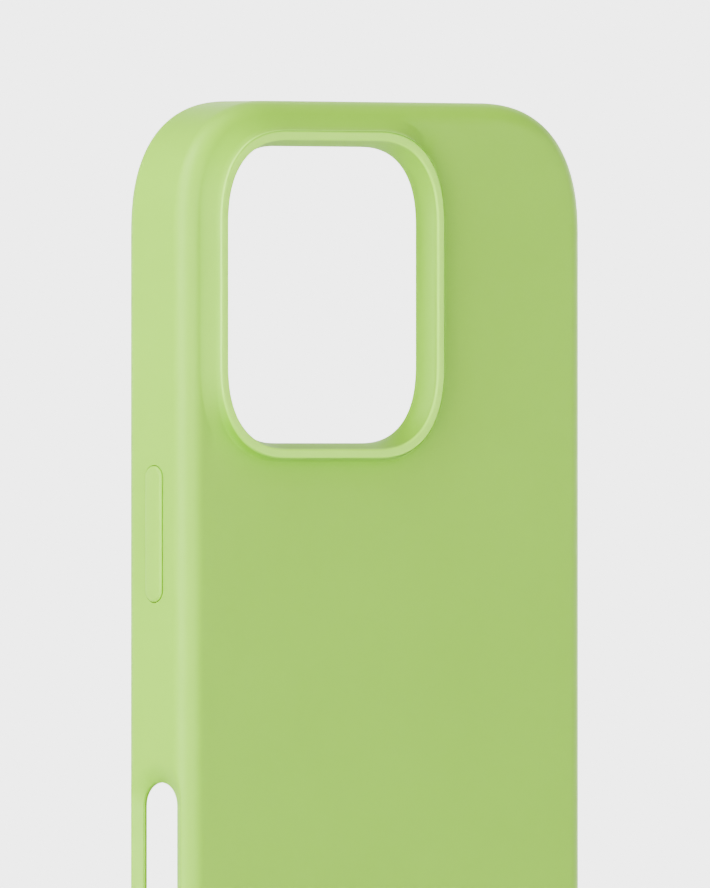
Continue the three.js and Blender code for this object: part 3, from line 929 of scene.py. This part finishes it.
def polycarbonate():
    """Hard core: satin, with the fine spark-eroded texture of its mould."""
    shader = Shader("polycarbonate", roughness=0.42, IOR=1.58)
    grain = shader.noise(5200, detail=3, roughness=0.6)
    base = shader.ramp(shader.noise(40), [(0.3, (0.33, 0.47, 0.18)), (0.7, (0.35, 0.49, 0.19))])
    shader.colour(shader.tint(base, grain, 0.94, 1.0))
    shader.roughness(grain, 0.36, 0.5)
    shader.bump(grain, 0.00001)
    return shader.material


def microfibre():
    """Brushed microfibre: short nap with soft patches where it lies one way or the other."""
    shader = Shader(
        "microfibre",
        roughness=0.95,
        Sheen_Weight=0.55,
        Sheen_Roughness=0.35,
    )
    shader.surface.inputs["Sheen Tint"].default_value = (0.80, 0.90, 0.62, 1)
    fibres = shader.noise(3400, detail=4, roughness=0.7, stretch=(1.0, 1.0, 0.35))
    patches = shader.noise(120, detail=3, roughness=0.6, stretch=(1.0, 1.0, 0.6))
    base = shader.ramp(patches, [(0.3, (0.30, 0.43, 0.16)), (0.7, (0.36, 0.50, 0.20))])
    shader.colour(shader.tint(base, fibres, 0.78, 1.0))
    shader.bump(patches, 0.00008)
    shader.bump(fibres, 0.00006)
    return shader.material


def pusher_plastic():
    """Smooth green plastic of the hard pads behind the buttons."""
    shader = Shader("pusher_plastic", roughness=0.35, IOR=1.5)
    grain = shader.noise(4200, detail=2)
    base = shader.ramp(shader.noise(90), [(0.3, (0.26, 0.36, 0.13)), (0.7, (0.28, 0.39, 0.15))])
    shader.colour(shader.tint(base, grain, 0.95, 1.0))
    shader.roughness(grain, 0.28, 0.4)
    shader.bump(grain, 0.000005)
    return shader.material


def nickel_plate():
    """Bright nickel over a pressed magnet: slight waviness and fine scuffs."""
    shader = Shader("nickel_plate", roughness=0.28, Metallic=1.0)
    scuffs = shader.noise(1800, detail=5, roughness=0.7, stretch=(1.0, 1.0, 0.12))
    base = shader.ramp(shader.noise(70), [(0.3, (0.60, 0.58, 0.53)), (0.7, (0.66, 0.64, 0.60))])
    shader.colour(shader.tint(base, scuffs, 0.92, 1.0))
    shader.roughness(scuffs, 0.2, 0.4)
    shader.bump(scuffs, 0.000004)
    return shader.material


def carrier_film():
    """Glossy film, faintly streaked, that carries the ring of magnets."""
    shader = Shader("carrier_film", roughness=0.22, IOR=1.57)
    streaks = shader.noise(900, detail=3, stretch=(1.0, 1.0, 0.2))
    base = shader.ramp(shader.noise(60), [(0.3, (0.76, 0.75, 0.71)), (0.7, (0.80, 0.79, 0.76))])
    shader.colour(shader.tint(base, streaks, 0.96, 1.0))
    shader.roughness(streaks, 0.16, 0.3)
    shader.bump(streaks, 0.000006)
    return shader.material


def dress_hidden_nodes():
    """The magnets and their film keep their CAD shape, with materials of their own."""
    nickel = nickel_plate()
    film = carrier_film()
    for name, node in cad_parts.items():
        if "magnet" in name:
            node.data.materials.clear()
            node.data.materials.append(film if name == "magnet_film" else nickel)


# ---- Camera, light and stage ------------------------------------------------------------------

VIEW_ANGLE = math.radians(-45)
FORWARD = Vector((-math.sin(VIEW_ANGLE), math.cos(VIEW_ANGLE), 0))
TO_RIGHT = Vector((math.cos(VIEW_ANGLE), math.sin(VIEW_ANGLE), 0))
VIEW_DISTANCE = 3.9
VIEW_HEIGHT = 117.86 * MM
AIM_BELOW_TOP = 45.42
AIM_ASIDE = -4.48


def aim_point():
    """The place that the camera looks at, in metres."""
    centre = Vector((0, BACK_Y * MM, (HEIGHT - AIM_BELOW_TOP) * MM))
    return centre + TO_RIGHT * AIM_ASIDE * MM


def add_camera():
    """Level camera whose picture is VIEW_HEIGHT tall at the aim point."""
    camera = bpy.data.objects.new("camera", bpy.data.cameras.new("camera"))
    bpy.context.scene.collection.objects.link(camera)
    camera.location = aim_point() - FORWARD * VIEW_DISTANCE
    camera.rotation_euler = FORWARD.to_track_quat("-Z", "Y").to_euler()
    camera.data.sensor_width = 36
    camera.data.lens = camera.data.sensor_width * VIEW_DISTANCE / VIEW_HEIGHT
    camera.data.clip_start = 0.1
    camera.data.clip_end = 100
    bpy.context.scene.camera = camera


# The paper behind the case: its brightness to the camera, and its glow on the case. The glow is
# full where the cosine to the view's direction is above PAPER_MIDDLE, and gone below PAPER_EDGE.
BACKDROP = (1.772, 1.772, 1.772)
PAPER_GLOW = 1.77
PAPER_MIDDLE = 0.9
PAPER_EDGE = 0.68
AMBIENT = 0.06

# Soft boxes: degrees round the case from the camera and above it, and power in watts.
BOX_DISTANCE = 1.3
BOX_SIZE = 0.8
SOFT_BOXES = {
    "left": (-30, 0, 14.8),
    "upper_left": (-45, 45, 13.2),
    "right": (30, 0, 9.3),
    "far_right": (90, 0, 3.9),
    "behind_right": (140, 0, 4.5),
    "behind_left": (-120, 0, 3.9),
    "top": (0, 89, 3.0),
    "under": (0, -89, 0.9),
}


def add_lights():
    """The soft boxes, each facing the aim point."""
    target = aim_point()
    for name, (turn, rise, power) in SOFT_BOXES.items():
        light = bpy.data.lights.new(name, "AREA")
        light.shape = "DISK"
        light.size = BOX_SIZE
        light.energy = power
        obj = bpy.data.objects.new(name, light)
        bpy.context.scene.collection.objects.link(obj)
        angle = math.radians(turn)
        lift = math.radians(rise)
        outward = (TO_RIGHT * math.sin(angle) - FORWARD * math.cos(angle)) * math.cos(lift)
        outward.z = math.sin(lift)
        obj.location = target + outward * BOX_DISTANCE
        obj.rotation_euler = (-outward).to_track_quat("-Z", "Y").to_euler()


def add_world():
    """Plain pale backdrop to the camera. On the case it is a dim even light, with the bright
    paper behind the case catching its edges."""
    world = bpy.data.worlds.new("studio")
    bpy.context.scene.world = world
    world.use_nodes = True
    tree = world.node_tree
    backdrop = tree.nodes["Background"]
    backdrop.inputs["Color"].default_value = (*BACKDROP, 1)
    place = tree.nodes.new("ShaderNodeTexCoord")
    behind = tree.nodes.new("ShaderNodeVectorMath")
    behind.operation = "DOT_PRODUCT"
    behind.inputs[1].default_value = FORWARD
    tree.links.new(place.outputs["Generated"], behind.inputs[0])
    glow = tree.nodes.new("ShaderNodeMapRange")
    glow.inputs["From Min"].default_value = PAPER_EDGE
    glow.inputs["From Max"].default_value = PAPER_MIDDLE
    glow.inputs["To Min"].default_value = AMBIENT
    glow.inputs["To Max"].default_value = PAPER_GLOW
    tree.links.new(behind.outputs["Value"], glow.inputs["Value"])
    dim = tree.nodes.new("ShaderNodeBackground")
    dim.inputs["Color"].default_value = (1, 1, 1, 1)
    tree.links.new(glow.outputs["Result"], dim.inputs["Strength"])
    path = tree.nodes.new("ShaderNodeLightPath")
    mixer = tree.nodes.new("ShaderNodeMixShader")
    tree.links.new(path.outputs["Is Camera Ray"], mixer.inputs["Fac"])
    tree.links.new(dim.outputs["Background"], mixer.inputs[1])
    tree.links.new(backdrop.outputs["Background"], mixer.inputs[2])
    tree.links.new(mixer.outputs["Shader"], tree.nodes["World Output"].inputs["Surface"])


FLOOR_RADIUS = 1200.0
FLOOR_STEPS = 96


def add_floor():
    """Pale round floor that the case stands on, well below the main view."""
    angles = np.linspace(0, 2 * math.pi, FLOOR_STEPS, endpoint=False)
    points = np.stack([np.cos(angles), np.sin(angles), np.zeros(FLOOR_STEPS)], 1) * FLOOR_RADIUS
    floor = new_object("floor", points, [list(range(FLOOR_STEPS))])
    shader = Shader("floor_paint", roughness=0.8)
    greys = [(0.3, (0.80, 0.80, 0.80)), (0.7, (0.84, 0.84, 0.84))]
    shader.colour(shader.ramp(shader.noise(6), greys))
    floor.data.materials.append(shader.material)


# ---- Assembly ---------------------------------------------------------------------------------

add_camera()
add_lights()
add_world()
add_floor()
bpy.context.scene.view_settings.view_transform = "AgX"
bpy.context.scene.view_settings.look = "AgX - High Contrast"

shell_silicone = silicone("shell_silicone", SHELL_DARK, SHELL_LIGHT)
cap_silicone = silicone("cap_silicone", CAP_DARK, CAP_LIGHT)
cloth = microfibre()
build_shell(shell_silicone)
build_core(polycarbonate())
build_back_lining(cloth)
build_wall_linings(cloth)
pad_plastic = pusher_plastic()
for button in BUTTONS:
    build_button(button, cap_silicone, pad_plastic)
dress_hidden_nodes()
